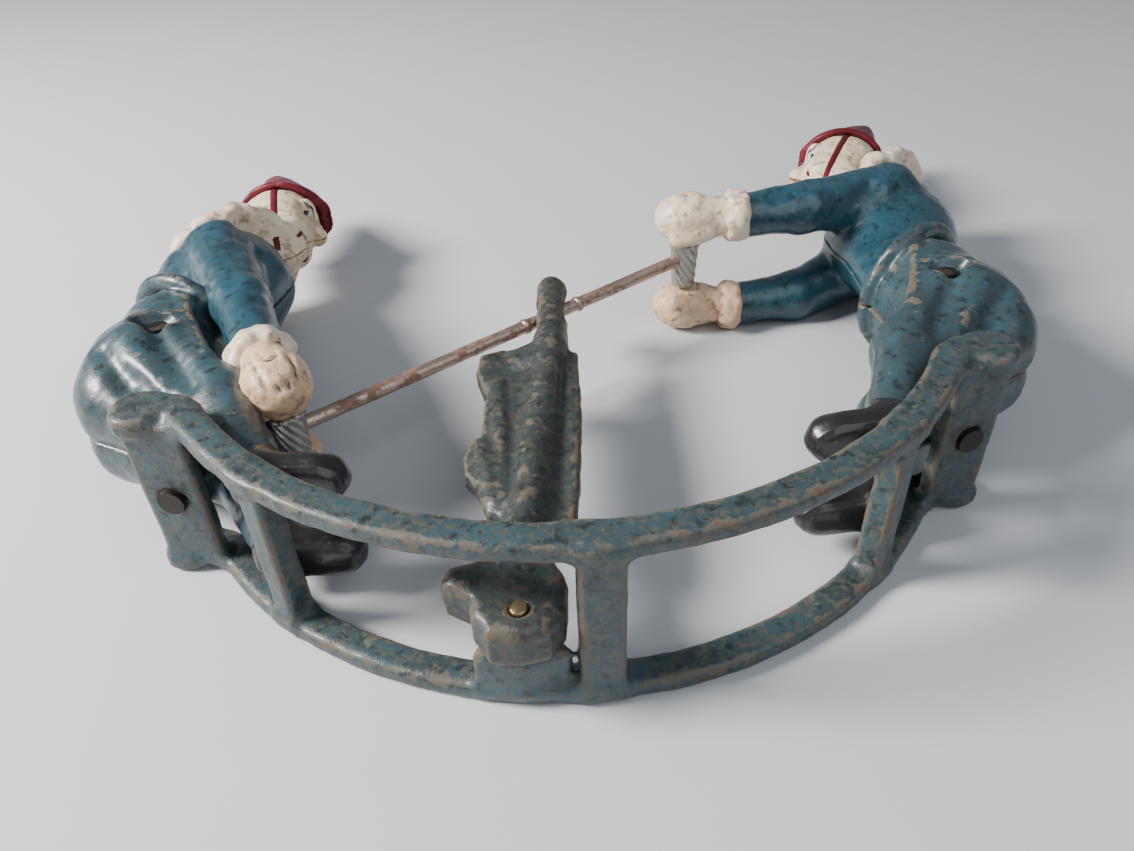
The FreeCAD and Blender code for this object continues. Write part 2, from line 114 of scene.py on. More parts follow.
def polygon(p, points):
    """Plan distance to a closed outline, negative inside."""
    x, y = p[..., 0], p[..., 1]
    best = np.full(x.shape, 1e9, np.float32)
    inside = np.zeros(x.shape, bool)
    for (ax, ay), (bx, by) in zip(points, points[1:] + points[:1]):
        ex, ey = bx - ax, by - ay
        share = np.clip(((x - ax) * ex + (y - ay) * ey) / (ex * ex + ey * ey), 0, 1)
        best = np.minimum(best, np.hypot(x - ax - share * ex, y - ay - share * ey))
        if ay != by:
            crosses = (ay > y) != (by > y)
            inside ^= crosses & (x < ax + (y - ay) * ex / ey)
    return np.where(inside, -best, best)


def lumps(p, size, seed):
    """Smooth irregular waves between about -1 and 1, as wide as size."""
    rng = np.random.default_rng(seed)
    total = np.zeros(p.shape[:-1], np.float32)
    for _ in range(7):
        way = rng.normal(size=3)
        way *= 2 * math.pi / size * rng.uniform(0.6, 1.4) / np.linalg.norm(way)
        total += np.sin(p @ way.astype(np.float32) + rng.uniform(0, 6.28))
    return total / 3.5


# ------------------------------------------------------------ field to mesh

CORNERS = [(i, j, k) for i in (0, 1) for j in (0, 1) for k in (0, 1)]
EDGES = [(a, b) for a in CORNERS for b in CORNERS if a < b and sum(b) - sum(a) == 1
         and all(x <= y for x, y in zip(a, b))]


def surface_net(values, low, step):
    """Quads round the zero level of a sampled field."""
    size = [n - 1 for n in values.shape]
    total = np.zeros(size + [3], np.float32)
    count = np.zeros(size, np.float32)
    for a, b in EDGES:
        at_a = values[a[0]:size[0] + a[0], a[1]:size[1] + a[1], a[2]:size[2] + a[2]]
        at_b = values[b[0]:size[0] + b[0], b[1]:size[1] + b[1], b[2]:size[2] + b[2]]
        cross = (at_a < 0) != (at_b < 0)
        share = at_a[cross] / (at_a[cross] - at_b[cross])
        total[cross] += vec(*a) + share[:, None] * (vec(*b) - vec(*a))
        count[cross] += 1
    active = count > 0
    index = np.full(size, -1, np.int64)
    index[active] = np.arange(active.sum())
    verts = (np.argwhere(active) + total[active] / count[active][:, None]) * step + low
    faces = []
    for axis in range(3):
        one, two = (axis + 1) % 3, (axis + 2) % 3
        head = [slice(1, -1)] * 3
        tail = [slice(1, -1)] * 3
        head[axis], tail[axis] = slice(0, -1), slice(1, None)
        inside = values[tuple(head)] < 0
        spots = np.argwhere(inside != (values[tuple(tail)] < 0))
        outward = inside[tuple(spots.T)]
        for along in (one, two):
            spots[:, along] += 1
        quad = []
        for back_one, back_two in ((1, 1), (0, 1), (0, 0), (1, 0)):
            cell = spots.copy()
            cell[:, one] -= back_one
            cell[:, two] -= back_two
            quad.append(index[tuple(cell.T)])
        quad = np.stack(quad, -1)
        quad[~outward] = quad[~outward][:, ::-1]
        faces.append(quad)
    return verts, np.concatenate(faces)


def slope(field, verts, reach):
    """Gradient of a field at some points, measured over this reach."""
    steps = np.eye(3, dtype=np.float32) * reach
    return np.stack([field(verts + s) - field(verts - s) for s in steps], -1) / (2 * reach)


def sculpt(field, low, high, step):
    """Mesh of a field's zero level, with how far each point stands out as its edge value."""
    low, high = vec(*low), vec(*high)
    counts = np.ceil((high - low) / step).astype(int) + 1
    axes = [low[i] + step * np.arange(counts[i], dtype=np.float32) for i in range(3)]
    values = np.stack([field(np.stack(np.meshgrid([x], axes[1], axes[2], indexing="ij"), -1))[0]
                       for x in axes[0]])
    verts, faces = surface_net(values, low, step)
    verts = verts.astype(np.float32)
    for _ in range(2):
        way = slope(field, verts, 0.2)
        length = (way ** 2).sum(-1) + 1e-3
        move = np.clip(field(verts) / length, -0.4 * step, 0.4 * step)
        verts = verts - way * move[:, None]
    verts[:, 2] = np.clip(verts[:, 2], 0.03 - HALF_WIDTH, HALF_WIDTH - 0.03)
    reach = 0.9
    around = sum(field(verts + s) + field(verts - s) for s in np.eye(3, dtype=np.float32) * reach) / 6
    return {"verts": verts, "faces": faces, "edge": np.clip(around / reach * 2, -1, 1)}


# ---------------------------------------------------------------- placing

def place(side, half, centre, up, stretch=(1.0, 1.0, 1.0)):
    """From a piece's own frame (front, up, c) at a spot on a clown to the row frame, in metres."""
    up = np.array(up) / np.hypot(*up)
    turn = np.array([[-side * up[1], side * up[0], 0], [up[0], up[1], 0], [0, 0, half]]).T
    start = np.array([side * (HIP_X + centre[0]), HIP_Y + centre[1], 0])
    return turn @ np.diag(stretch) * MM, start * MM + np.array(ORIGIN)


def place_figure(side, half):
    """From the figure frame of a clown's half to the row frame, in metres."""
    turn = np.diag([side, 1, half])
    return turn * MM, np.array([side * HIP_X, HIP_Y, 0]) * MM + np.array(ORIGIN)


PLAN = (np.eye(3) * MM, np.array(ORIGIN))


def smooth_object(name, verts, faces, body, material, node):
    """A smooth mesh object on its body, in place of the CAD node it stands for."""
    mesh = bpy.data.meshes.new(name)
    mesh.from_pydata(verts.tolist(), [], faces)
    mesh.polygons.foreach_set("use_smooth", [True] * len(mesh.polygons))
    mesh.materials.append(material)
    thing = bpy.data.objects.new(name, mesh)
    bpy.context.scene.collection.objects.link(thing)
    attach(thing, body)
    if node:
        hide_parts(node)
    return thing


def piece(name, shape, spot, body, material, node=None):
    """A mesh object from a sculpted shape, with its edge values."""
    turn, start = spot
    verts = shape["verts"] @ turn.T + start
    faces = shape["faces"]
    if np.linalg.det(turn) < 0:
        faces = faces[:, ::-1]
    thing = smooth_object(name, verts, faces.tolist(), body, material, node)
    edge = thing.data.attributes.new("edge", "FLOAT", "POINT")
    edge.data.foreach_set("value", shape["edge"].astype(np.float32))


# -------------------------------------------------------------- materials

def new_material(name):
    material = bpy.data.materials.new(name)
    material.use_nodes = True
    nodes, links = material.node_tree.nodes, material.node_tree.links
    return material, nodes, links, nodes["Principled BSDF"]


def noise(nodes, links, where, feature_mm, detail=4.0, stretch=None):
    """Noise with features this wide; stretch scales the frame for streaks."""
    tex = nodes.new("ShaderNodeTexNoise")
    tex.inputs["Scale"].default_value = 1 / (feature_mm * MM)
    tex.inputs["Detail"].default_value = detail
    tex.inputs["Roughness"].default_value = 0.62
    if stretch:
        mapping = nodes.new("ShaderNodeMapping")
        mapping.inputs["Scale"].default_value = stretch
        links.new(where, mapping.inputs["Vector"])
        where = mapping.outputs["Vector"]
    links.new(where, tex.inputs["Vector"])
    return tex.outputs["Fac"]


def ramp(nodes, links, source, low, high):
    """Mask that rises from 0 at low to 1 at high."""
    node = nodes.new("ShaderNodeMapRange")
    node.inputs["From Min"].default_value = low
    node.inputs["From Max"].default_value = high
    node.interpolation_type = "SMOOTHSTEP"
    links.new(source, node.inputs["Value"])
    return node.outputs["Result"]


def math_node(nodes, links, kind, a, b):
    node = nodes.new("ShaderNodeMath")
    node.operation = kind
    for socket, source in zip(node.inputs, (a, b)):
        if isinstance(source, float):
            socket.default_value = source
        else:
            links.new(source, socket)
    return node.outputs[0]


def blend(nodes, links, mask, base, top):
    """Colour base where the mask is 0 and top where it is 1."""
    node = nodes.new("ShaderNodeMix")
    node.data_type = "RGBA"
    links.new(mask, node.inputs["Factor"])
    for socket, source in ((node.inputs[6], base), (node.inputs[7], top)):
        if isinstance(source, tuple):
            socket.default_value = source + (1,)
        else:
            links.new(source, socket)
    return node.outputs[2]


def paint(name, base, shade, worn, primer, wear, hollow_shade_amount, gloss, grain=0.35, coat=0.3, speck=0.0,
          mottle=None, specular=0.5):
    """Old enamel on cast iron: mottled colour, painted shade that darkens hollows and creases, wear and
    primer on what stands out.
    """
    material, nodes, links, shader = new_material(name)
    where = nodes.new("ShaderNodeTexCoord").outputs["Object"]
    attribute = nodes.new("ShaderNodeAttribute")
    attribute.attribute_name = "edge"
    edge = attribute.outputs["Fac"]
    broad = noise(nodes, links, where, 14.0, 3.0)
    middle = noise(nodes, links, where, 3.2, 6.0)
    fine = noise(nodes, links, where, 0.8, 5.0)
    colour = blend(nodes, links, ramp(nodes, links, broad, 0.32, 0.68), base, shade)
    if mottle:
        patches = noise(nodes, links, where, 1.5, 7.0)
        colour = blend(nodes, links, ramp(nodes, links, patches, 0.48, 0.60), colour, mottle)
        dark_patches = ramp(nodes, links, noise(nodes, links, where, 2.4, 7.0), 0.52, 0.66)
        colour = blend(nodes, links, dark_patches, colour, tuple(channel * 0.5 for channel in shade))
    # Painted shade: points with a negative edge value, in hollows, creases and joins, are darkened towards a
    # dark copy of the shade colour; noise breaks up the shade's edge.
    hollow = math_node(nodes, links, "MULTIPLY", edge, -1.0)
    hollow_shade_mask = math_node(nodes, links, "ADD", hollow, math_node(nodes, links, "MULTIPLY", middle, 0.5))
    hollow_shade_colour = tuple(channel * 0.22 for channel in shade)
    colour = blend(nodes, links, ramp(nodes, links, hollow_shade_mask, 0.62 - hollow_shade_amount, 1.05 - hollow_shade_amount), colour, hollow_shade_colour)
    rubbed = math_node(nodes, links, "ADD", edge, math_node(nodes, links, "MULTIPLY", middle, 1.3))
    worn_mask = ramp(nodes, links, rubbed, 1.12 - wear, 1.24 - wear)
    colour = blend(nodes, links, worn_mask, colour, worn)
    bare = math_node(nodes, links, "ADD", rubbed, math_node(nodes, links, "MULTIPLY", fine, 0.5))
    deep = ramp(nodes, links, bare, 1.58 - wear, 1.68 - wear)
    colour = blend(nodes, links, deep, colour, primer)
    if speck:
        dots = ramp(nodes, links, fine, 0.70 - speck, 0.73 - speck)
        colour = blend(nodes, links, dots, colour, tuple(channel * 0.12 for channel in primer))
    links.new(colour, shader.inputs["Base Color"])
    rough = math_node(nodes, links, "MULTIPLY_ADD", middle, 0.3)
    rough.node.inputs[2].default_value = gloss - 0.15
    rough = math_node(nodes, links, "ADD", rough, math_node(nodes, links, "MULTIPLY", worn_mask, 0.22))
    links.new(rough, shader.inputs["Roughness"])
    shader.inputs["Coat Weight"].default_value = coat
    shader.inputs["Coat Roughness"].default_value = 0.18
    shader.inputs["Specular IOR Level"].default_value = specular
    height = math_node(nodes, links, "SUBTRACT", math_node(nodes, links, "MULTIPLY", fine, grain),
                       math_node(nodes, links, "MULTIPLY", worn_mask, 0.18))
    bump = nodes.new("ShaderNodeBump")
    bump.inputs["Strength"].default_value = 0.55
    bump.inputs["Distance"].default_value = 0.4 * MM
    links.new(height, bump.inputs["Height"])
    links.new(bump.outputs["Normal"], shader.inputs["Normal"])
    return material


def metal(name, base, rust, amount, rough, stretch=None):
    """Bare metal with brown rust and a fine dark grain."""
    material, nodes, links, shader = new_material(name)
    where = nodes.new("ShaderNodeTexCoord").outputs["Object"]
    middle = noise(nodes, links, where, 4.0, 6.0, stretch)
    fine = noise(nodes, links, where, 0.7, 5.0)
    mask = ramp(nodes, links, middle, 0.62 - amount, 0.72 - amount)
    colour = blend(nodes, links, mask, base, rust)
    colour = blend(nodes, links, ramp(nodes, links, fine, 0.55, 0.75), colour, tuple(c * 0.35 for c in rust))
    links.new(colour, shader.inputs["Base Color"])
    shine = math_node(nodes, links, "SUBTRACT", 0.9, math_node(nodes, links, "MULTIPLY", mask, 0.75))
    links.new(shine, shader.inputs["Metallic"])
    links.new(math_node(nodes, links, "ADD", math_node(nodes, links, "MULTIPLY", mask, 0.25), rough),
              shader.inputs["Roughness"])
    bump = nodes.new("ShaderNodeBump")
    bump.inputs["Strength"].default_value = 0.5
    bump.inputs["Distance"].default_value = 0.25 * MM
    links.new(fine, bump.inputs["Height"])
    links.new(bump.outputs["Normal"], shader.inputs["Normal"])
    return material


# The seventh argument of each paint sets how far painted shade darkens its hollows and creases.
TEAL = paint("teal_jacket", (0.014, 0.072, 0.105), (0.008, 0.040, 0.058), (0.07, 0.085, 0.080),
             (0.10, 0.05, 0.03), 0.06, 0.12, 0.36, 0.45, 0.3, 0.0, (0.020, 0.062, 0.080))
TROUSER_TEAL = paint("teal_trousers", (0.026, 0.074, 0.092), (0.024, 0.044, 0.050), (0.125, 0.110, 0.078),
                     (0.13, 0.055, 0.03), 0.24, 0.12, 0.38, 0.5, 0.28, 0.0, (0.036, 0.052, 0.052))
CRADLE_TEAL = paint("teal_cradle", (0.030, 0.072, 0.086), (0.030, 0.045, 0.048), (0.095, 0.088, 0.068),
                    (0.12, 0.06, 0.035), 0.33, 0.06, 0.44, 0.75, 0.14, 0.0, (0.070, 0.070, 0.058))
LEVER_PAINT = paint("lever_iron", (0.030, 0.044, 0.046), (0.026, 0.030, 0.029), (0.085, 0.072, 0.052),
                    (0.10, 0.06, 0.035), 0.36, 0.06, 0.44, 0.75, 0.12, 0.0, (0.056, 0.050, 0.040))
CREAM = paint("cream_paint", (0.82, 0.73, 0.60), (0.72, 0.54, 0.37), (0.58, 0.38, 0.22),
              (0.20, 0.11, 0.06), 0.04, 0.24, 0.42, 0.35, 0.15, 0.015, (0.76, 0.60, 0.44))
# Darker tan copy of the cream: the own tan of the left clown's near glove, and painted shade on the far
# halves' gloves and cuffs.
TAN_AND_SHADE = paint("tan_and_shaded_cream_paint", (0.72, 0.52, 0.35), (0.60, 0.38, 0.23), (0.42, 0.24, 0.13),
            (0.13, 0.07, 0.04), 0.05, 0.28, 0.46, 0.4, 0.1, 0.02, (0.66, 0.44, 0.28))
CRIMSON = paint("crimson_paint", (0.150, 0.012, 0.022), (0.080, 0.007, 0.013), (0.20, 0.06, 0.05),
                (0.10, 0.05, 0.02), 0.03, 0.05, 0.42, 0.25, 0.05, specular=0.2)
BLACK = paint("black_paint", (0.016, 0.015, 0.016), (0.009, 0.008, 0.009), (0.060, 0.045, 0.042),
              (0.08, 0.035, 0.022), 0.16, 0.05, 0.32, 0.45, 0.4)
DARK_IRON = metal("dark_iron", (0.05, 0.045, 0.04), (0.03, 0.022, 0.016), 0.12, 0.50)
ROD_STEEL = metal("rod_steel", (0.48, 0.36, 0.29), (0.24, 0.13, 0.085), 0.10, 0.36)
WIRE_STEEL = metal("wire_steel", (0.42, 0.41, 0.39), (0.16, 0.12, 0.09), 0.02, 0.38)
BRASS = metal("brass_pin", (0.36, 0.27, 0.14), (0.08, 0.06, 0.035), 0.08, 0.35)


# ------------------------------------------------------------------ cradle

RAIL_CENTRE = (0.0, -40.0)
RAIL_RADIUS, RAIL_DEEP, RAIL_THICK = 84.0, 6.6, 4.0
JOINT_ANGLE = math.radians(-32.0)
CURL_RADIUS = 7.0
CURL_CENTRE = (RAIL_CENTRE[0] + (RAIL_RADIUS + CURL_RADIUS) * math.cos(JOINT_ANGLE),
               RAIL_CENTRE[1] + (RAIL_RADIUS + CURL_RADIUS) * math.sin(JOINT_ANGLE))
CURL_START, CURL_END = math.radians(148.0), math.radians(62.0)
KNOB = (CURL_CENTRE[0] + CURL_RADIUS * math.cos(CURL_END), CURL_CENTRE[1] + CURL_RADIUS * math.sin(CURL_END))
KNOB_RADIUS = 5.2
MIDDLE_BAR_X = 0.6
SIDE_BAR_ANGLE = 41.6
WALL_END = (KNOB[0] + 3.4, KNOB[1] - 1.8)
SEAT_HOLE_RADIUS = 2.9
BOSS = [(-20.5, -123.8), (-18.4, -120.0), (-8.2, -120.0), (-5.6, -124.6), (-12.8, -126.0)]


def arc_gap(x, y, centre, radius, middle, spread):
    """Plan distance to an arc, from its centre, radius, middle angle and half spread."""
    dx, dy = x - centre[0], y - centre[1]
    along = dx * math.cos(middle) + dy * math.sin(middle)
    across = np.abs(-dx * math.sin(middle) + dy * math.cos(middle))
    within = np.arctan2(across, along) <= spread
    end = np.hypot(along - radius * math.cos(spread), across - radius * math.sin(spread))
    return np.where(within, np.abs(np.hypot(dx, dy) - radius), end)


def bar_gap(p, start, end, wide):
    """Plan field of a straight bar between two points."""
    ax, ay = start
    ex, ey = end[0] - ax, end[1] - ay
    length = math.hypot(ex, ey)
    along = ((p[..., 0] - ax) * ex + (p[..., 1] - ay) * ey) / length
    across = (-(p[..., 0] - ax) * ey + (p[..., 1] - ay) * ex) / length
    return rounded(np.abs(along - length / 2) - length / 2, np.abs(across) - wide / 2, 1.0)


def on_rail(radius, degrees):
    angle = math.radians(degrees - 90.0)
    return (RAIL_CENTRE[0] + radius * math.cos(angle), RAIL_CENTRE[1] + radius * math.sin(angle))


def cradle_field(p):
    """Two rails, the bars and end walls between them, and the lever's boss; right is p folded to x > 0."""
    right = np.stack([np.abs(p[..., 0]), p[..., 1], p[..., 2]], -1)
    x, y, level = right[..., 0], right[..., 1], np.abs(p[..., 2])
    run = arc_gap(x, y, RAIL_CENTRE, RAIL_RADIUS, math.radians(-90.0), math.radians(58.0))
    curl = arc_gap(x, y, CURL_CENTRE, CURL_RADIUS, (CURL_START + CURL_END) / 2, (CURL_START - CURL_END) / 2)
    plan = join(run, curl, 0.8) - RAIL_DEEP / 2 + 0.12
    plan = join(plan, np.hypot(x - KNOB[0], y - KNOB[1]) - KNOB_RADIUS, 2.5)
    rail_level = HALF_WIDTH - RAIL_THICK / 2
    whole = rounded(plan, np.abs(level - rail_level) - RAIL_THICK / 2 + 0.06, 1.3)
    outer_y, inner_y = on_rail(RAIL_RADIUS + 3.1, 0.0)[1], on_rail(RAIL_RADIUS - 2.8, 0.0)[1]
    middle = bar_gap(p, (MIDDLE_BAR_X, outer_y), (MIDDLE_BAR_X, inner_y), 7.8)
    side_start, side_end = (on_rail(RAIL_RADIUS + shift, SIDE_BAR_ANGLE) for shift in (-2.6, 2.6))
    side = bar_gap(right, side_start, side_end, 5.8)
    wall_start = on_rail(RAIL_RADIUS + 1.7, 57.0)
    wall = bar_gap(right, wall_start, WALL_END, 3.4)
    posts = np.minimum(np.minimum(middle, side), wall)
    posts = np.maximum(posts, level - rail_level)
    whole = join(whole, posts, 2.6)
    boss = rounded(polygon(p, BOSS) - 0.9, np.abs(p[..., 2] + HALF_WIDTH - 7.5) - 5.4, 1.8)
    whole = join(whole, boss, 2.6)
    hole_spot = ((wall_start[0] + WALL_END[0]) / 2, (wall_start[1] + WALL_END[1]) / 2)
    hole = np.sqrt((x - hole_spot[0]) ** 2 + (y - hole_spot[1]) ** 2 + level ** 2) - SEAT_HOLE_RADIUS
    whole = carve(whole, hole, 0.6)
    return whole - 0.10 * lumps(p, 9.0, 3) - 0.05 * lumps(p, 3.0, 4)


def make_cradle():
    reach = KNOB[0] + KNOB_RADIUS + 3.5
    low = (-reach, RAIL_CENTRE[1] - RAIL_RADIUS - 5.0, -HALF_WIDTH - 1.5)
    high = (reach, KNOB[1] + KNOB_RADIUS + 2.5, HALF_WIDTH + 1.5)
    shape = sculpt(cradle_field, low, high, 0.8)
    piece("cradle", shape, PLAN, "cradle", CRADLE_TEAL, "cradle_frame")


# ------------------------------------------------------------------- lever

PLATE = [(-5.8, 76.5), (-1.0, 78.6), (3.0, 76.6), (15.8, 75.2), (15.2, 62.0), (14.2, 48.0), (12.6, 34.0),
         (10.8, 20.5), (3.0, 20.0), (-4.8, 24.5), (-5.4, 30.5), (-9.0, 36.0), (-9.2, 41.0), (-5.6, 46.5),
         (-4.6, 62.0), (-6.6, 70.0)]
LOBE = [(5.6, 13.5), (8.2, 5.5), (7.4, -1.0), (4.6, -4.4), (-0.4, -5.2), (-5.2, -4.0), (-7.6, 0.0),
        (-8.0, 3.5), (-12.4, 7.0), (-11.4, 10.6), (-4.2, 13.3)]
STEM_TOP, STEM_FOOT = (12.2, 105.0), (10.0, 78.0)
RIB_FOOT = (1.0, 14.0)
SLOT_MIDDLE = (11.0, 93.4)
SLOT_WAY = (0.828, 0.561)


def lever_field(p):
    q = p - vec(LEVER_PIN[0], LEVER_PIN[1], 0)
    level = q[..., 2]
    plate = rounded(polygon(q, PLATE) - 0.4, np.abs(level) - 2.4, 1.1)
    rib = bone(q * vec(1, 1, 0.9), STEM_FOOT + (0.9,), RIB_FOOT + (1.2,), 3.6, 3.9)
    second = bone(q, (-2.4, 66.0, 1.6), (-1.8, 28.0, 1.8), 1.5, 1.7)
    stem = bone(q * vec(1, 1, 0.95), STEM_FOOT + (1.1,), STEM_TOP + (1.4,), 4.2, 3.9)
    scroll = bone(q, (-6.4, 44.5, 1.0), (-3.2, 27.0, 1.2), 1.9, 2.2)
    whole = join(join(join(plate, rib, 2.2), stem, 2.0), join(second, scroll, 1.2), 1.6)
    knuckle = egg(q, (6.6, 74.5, 1.2), (6.0, 5.0, 3.2))
    whole = join(whole, knuckle, 2.5)
    neck = bone(q, (1.0, 19.0, -0.2), (-0.6, 7.0, -0.8), 4.4, 4.8)
    lobe = rounded(polygon(q, LOBE) - 0.2, np.abs(level + 1.2) - 4.5, 2.2)
    lobe = join(join(lobe, neck, 2.5), egg(q, (-9.6, 8.6, 0.0), (3.6, 2.8, 3.2)), 1.6)
    whole = join(whole, lobe, 2.0)
    whole = carve(whole, bone(q, (0, 0, 2.6), (0, 0, 6.0), 1.5, 2.4), 0.6)
    way = vec(*SLOT_WAY)
    across = (q[..., 0] - SLOT_MIDDLE[0]) * -way[1] + (q[..., 1] - SLOT_MIDDLE[1]) * way[0]
    slot = np.maximum(np.abs(across) - 5.6, level - 3.4)
    slot = np.maximum(slot, np.abs(q[..., 1] - SLOT_MIDDLE[1]) - 14.0)
    whole = carve(whole, slot, 0.5)
    whole -= fold(q, (12.0, 70.0, 2.6), (9.0, 24.0, 2.6), 1.2, -0.5)
    return whole - 0.14 * lumps(p, 8.0, 5) - 0.06 * lumps(p, 2.6, 6)


def make_lever():
    low = (LEVER_PIN[0] - 17.0, LEVER_PIN[1] - 8.5, -HALF_WIDTH + 7.5)
    high = (LEVER_PIN[0] + 20.0, LEVER_PIN[1] + 112.0, 7.0)
    shape = sculpt(lever_field, low, high, 0.6)
    piece("lever", shape, PLAN, "lever", LEVER_PAINT, "swing_lever")


def lathe(rings, turns, wobble=None):
    """Closed surface of turning: rings are (height, radius); wobble moves a point's radius."""
    verts = [(0.0, 0.0, rings[0][0])]
    for height, radius in rings:
        for step in range(turns):
            angle = 2 * math.pi * step / turns
            reach = radius + (wobble(angle, height) if wobble else 0.0)
            verts.append((reach * math.cos(angle), reach * math.sin(angle), height))
    verts.append((0.0, 0.0, rings[-1][0]))
    faces = []
    for step in range(turns):
        after = (step + 1) % turns
        faces.append((0, 1 + after, 1 + step))
        for row in range(len(rings) - 1):
            here, above = 1 + row * turns, 1 + (row + 1) * turns
            faces.append((here + step, here + after, above + after, above + step))
        last = 1 + (len(rings) - 1) * turns
        faces.append((last + step, last + after, len(verts) - 1))
    return verts, faces


def lathe_piece(name, rings, turns, spot, body, material, node=None, wobble=None):
    """A turned mesh object in place."""
    verts, faces = lathe(rings, turns, wobble)
    turn, start = spot
    points = np.array(verts) @ turn.T + start
    smooth_object(name, points, faces, body, material, node)


def make_pin_head():
    """Peened end of the lever pin, proud of the lobe."""
    top = 3.9
    rings = [(top - 1.6, 1.28), (top - 0.7, 1.5), (top - 0.2, 1.45), (top, 1.1), (top + 0.1, 0.4)]
    spot = (np.eye(3) * MM, np.array(ORIGIN) + np.array([LEVER_PIN[0], LEVER_PIN[1], 0]) * MM)
    lathe_piece("lever_pin_head", rings, 24, spot, "cradle", BRASS)


# ---------------------------------------------------------------- trousers

def trousers_field(p):
    body = egg(p, (2.4, 1.0, 0.0), (13.4, 20.0, 16.4))
    upper = egg(p, (2.6, 13.0, 0.0), (13.4, 12.0, 15.4))
    seat = egg(p, (5.6, -6.0, 6.5), (10.6, 15.0, 10.4))
    body = join(join(body, upper, 4.0), seat, 4.0)
    thigh = bone(p, (-1.0, -6.0, 7.0), (-16.5, -22.0, 9.0), 10.6, 7.2)
    shin = bone(p, (-16.5, -22.0, 9.0), (-27.8, -43.5, 9.0), 7.0, 5.3)
    whole = join(body, join(thigh, shin, 3.0), 5.0)
    skirt = bone(p, (6.0, -14.0, 4.0), (-8.0, -27.0, 5.0), 9.0, 6.0)
    whole = join(whole, skirt, 5.0)
    across = p[..., 0] * 0.891 + (p[..., 1] - 19.0) * 0.453
    above = -p[..., 0] * 0.453 + (p[..., 1] - 19.0) * 0.891
    whole = np.maximum(whole, above - 1.0)
    ring = np.hypot((across - 1.8) / 14.6, p[..., 2] / 15.2)
    hem = np.hypot((ring - 1.0) * 14.6, above) - 1.9
    inside = np.maximum((ring - 0.93) * 15.0, -above - 5.0)
    whole = carve(whole, inside, 1.0)
    whole = join(whole, hem, 1.2)
    whole = carve(whole, egg(p, (0.2, 0.0, 17.4), (5.2, 4.0, 3.6)), 0.6)
    whole -= fold(p, (-3.4, 4.8, 15.6), (5.6, 2.6, 15.8), 1.2, 0.7)
    whole -= fold(p, (6.4, 1.6, 15.4), (2.6, -5.6, 15.6), 1.2, 0.5)
    whole -= fold(p, (-9.0, 12.0, 11.0), (-15.0, -12.0, 13.0), 2.0, -2.0)
    whole -= fold(p, (-3.0, 12.0, 15.0), (-14.0, -14.0, 15.5), 2.0, 1.5)
    whole -= fold(p, (-1.0, -5.0, 16.5), (-13.5, -24.0, 15.0), 2.1, -1.7)
    whole -= fold(p, (5.0, -6.0, 16.0), (-7.0, -24.0, 15.0), 2.2, 1.2)
    whole -= fold(p, (8.0, -10.0, 15.0), (1.0, -20.0, 13.0), 2.4, -1.0)
    whole -= fold(p, (-18.0, -18.0, 14.0), (-24.0, -36.0, 14.0), 1.6, 0.8)
    whole -= fold(p, (-24.0, -20.0, 9.0), (-29.0, -36.0, 9.0), 1.6, -0.7)
    whole = np.maximum(whole, SEAM - p[..., 2])
    whole = np.maximum(whole, np.abs(p[..., 2]) - HALF_WIDTH + 0.2)
    return whole - 0.12 * lumps(p, 8.0, 7) - 0.05 * lumps(p, 2.6, 8)


def shoe_field(p):
    foot = egg(p, (-35.8, -48.2, 9.4), (9.6, 4.1, 5.0))
    toe = egg(p, (-41.6, -48.8, 9.4), (4.4, 3.5, 4.4))
    heel = egg(p, (-30.2, -47.4, 9.2), (5.2, 5.0, 4.8))
    ankle = bone(p, (-28.4, -43.6, 9.0), (-29.4, -47.0, 9.0), 4.8, 4.8)
    whole = join(join(foot, join(toe, heel, 2.5), 2.5), ankle, 2.5)
    sole = (p[..., 1] + 52.2) * 0.97 - (p[..., 0] + 36.0) * 0.08
    whole = np.maximum(whole, -sole)
    rim = np.abs(sole - 1.2) - 0.5
    whole -= np.where(rim < 0.6, 0.25, 0.0) * np.exp(-(rim / 0.6) ** 2)
    cap = (p[..., 0] + 28.2) * 0.5 + (p[..., 1] + 43.4) * 0.86
    whole = np.maximum(whole, cap - 1.2)
    return whole - 0.10 * lumps(p, 5.0, 9)


# ----------------------------------------------------- jackets and their arms

